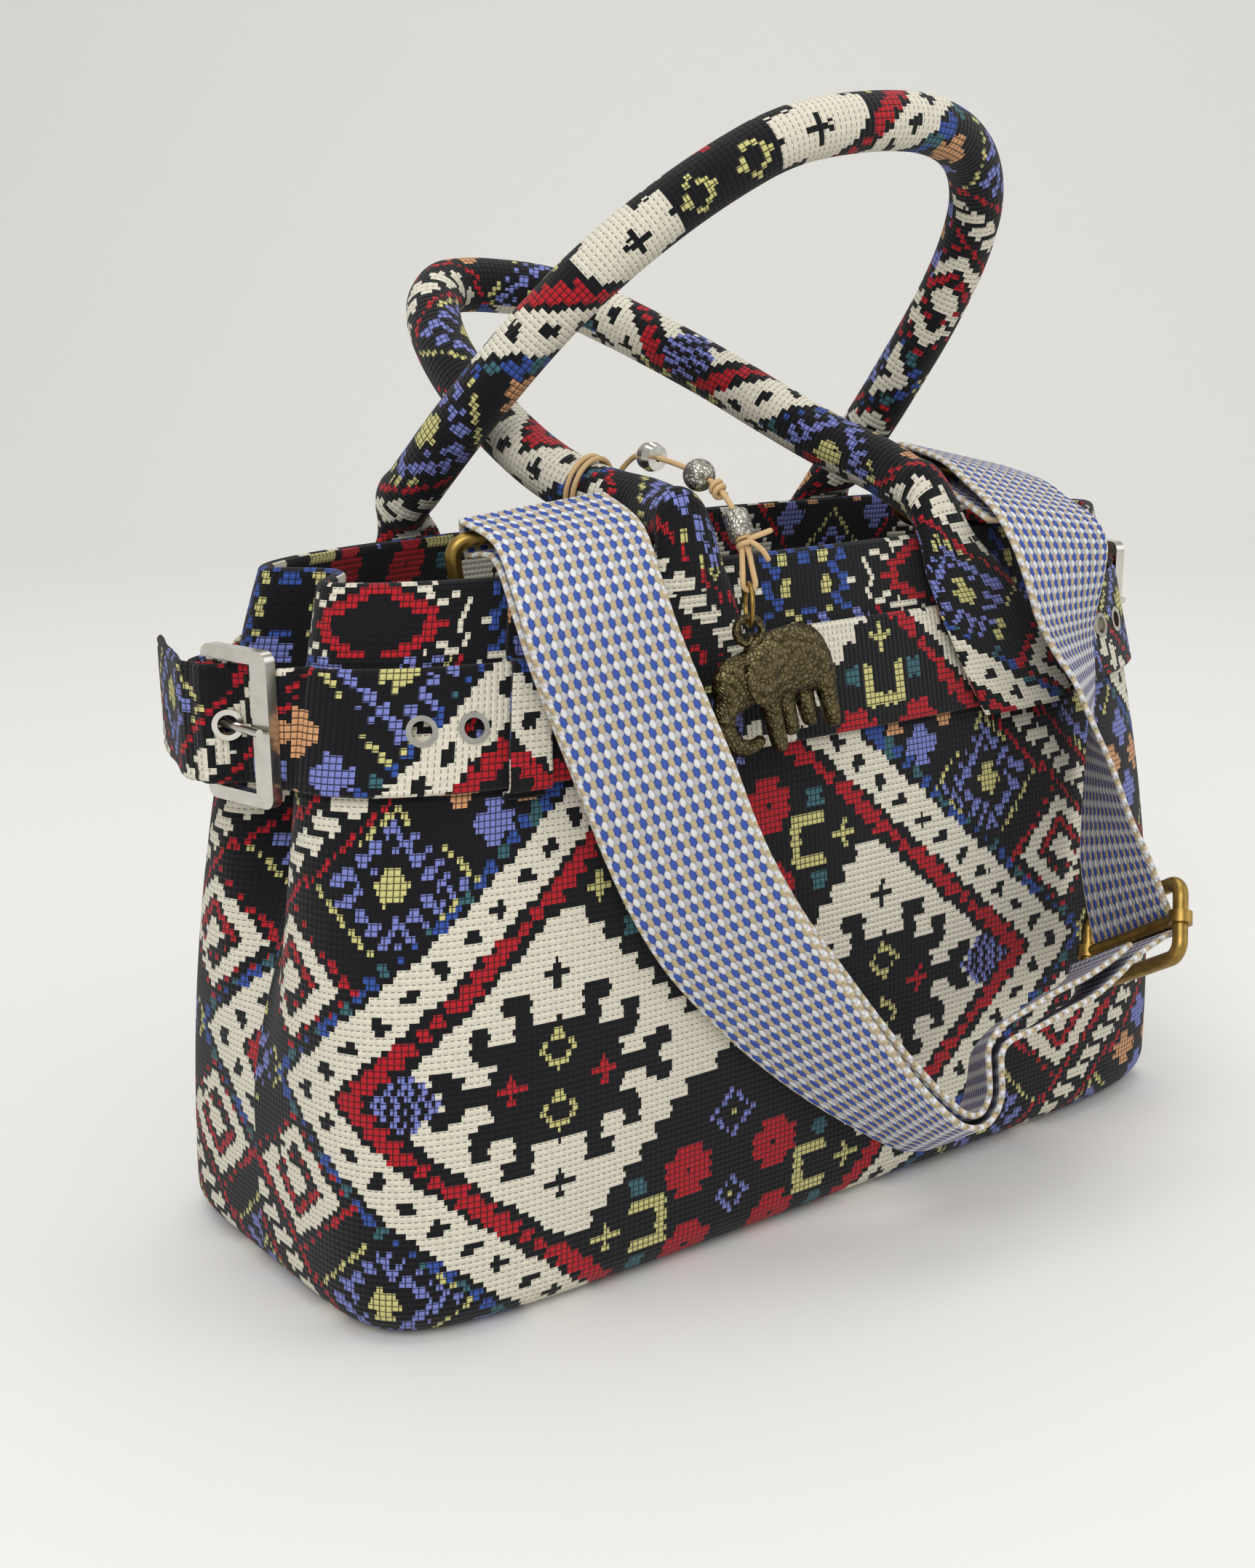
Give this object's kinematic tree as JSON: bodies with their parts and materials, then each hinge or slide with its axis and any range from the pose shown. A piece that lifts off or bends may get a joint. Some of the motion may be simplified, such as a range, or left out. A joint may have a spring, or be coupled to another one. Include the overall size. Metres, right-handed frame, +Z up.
{
  "type": "fabric handbag",
  "caption": "Soft boxed handbag of patterned woven cloth with a buckled belt, rolled handles, an adjustable webbing shoulder strap and a hanging elephant charm.",
  "frame": {"origin": "on the floor at the middle of the flat base, on the line between the two side seams", "axes": "+Z up, the front with the strap and the charm towards -Y, +X to the right seen from the front"},
  "size_m": [0.4428, 0.266, 0.4123],
  "materials": {
    "woven_cloth": "matte",
    "lining_cloth": "matte",
    "board": "matte",
    "nickel": "satin",
    "aged_brass": "satin",
    "webbing": "matte",
    "waxed_cord": "satin",
    "antique_silver": "satin",
    "dark_brass": "satin"
  },
  "bodies": {
    "bag": {"front_panel": "woven_cloth", "back_panel": "woven_cloth", "base_board": "board", "lining": "lining_cloth", "rim_facing": "woven_cloth", "front_belt": "woven_cloth", "back_belt": "woven_cloth", "left_eyelets": "nickel", "right_eyelets": "nickel", "left_belt_loop": "woven_cloth", "right_belt_loop": "woven_cloth", "left_buckle_frame": "nickel", "right_buckle_frame": "nickel", "left_prong": "nickel", "right_prong": "nickel", "front_handle": "woven_cloth", "back_handle": "woven_cloth", "left_ring_tab": "woven_cloth", "right_ring_tab": "woven_cloth", "shoulder_strap": "webbing", "slider_frame": "aged_brass", "slider_bar": "aged_brass", "charm_cord": "waxed_cord", "bell_bead": "antique_silver", "filigree_bead": "antique_silver", "cylinder_bead": "antique_silver"},
    "left_ring": {"left_strap_ring": "aged_brass"},
    "right_ring": {"right_strap_ring": "aged_brass"},
    "charm_link": {"charm_ring": "aged_brass"},
    "charm_figure": {"elephant": "dark_brass"}
  },
  "joints": [
    {"name": "left_ring_rock", "type": "hinge", "parent": "bag", "child": "left_ring", "pos_m": [-0.10548, -0.04655, 0.23926], "axis": [-0.9305, 0.3387, -0.1392], "range_deg": [-2, 2]},
    {"name": "right_ring_rock", "type": "hinge", "parent": "bag", "child": "right_ring", "pos_m": [0.0942, -0.04611, 0.24995], "axis": [0.9531, -0.2026, -0.225], "range_deg": [-2, 2]},
    {"name": "charm_swing", "type": "hinge", "parent": "bag", "child": "charm_link", "pos_m": [-0.059, -0.096, 0.2495], "axis": [-0.5, -0.866, 0], "range_deg": [0, 40]},
    {"name": "elephant_sway", "type": "hinge", "parent": "charm_link", "child": "charm_figure", "pos_m": [-0.059, -0.096, 0.2355], "axis": [-0.5, -0.866, 0], "range_deg": [0, 25]}
  ]
}
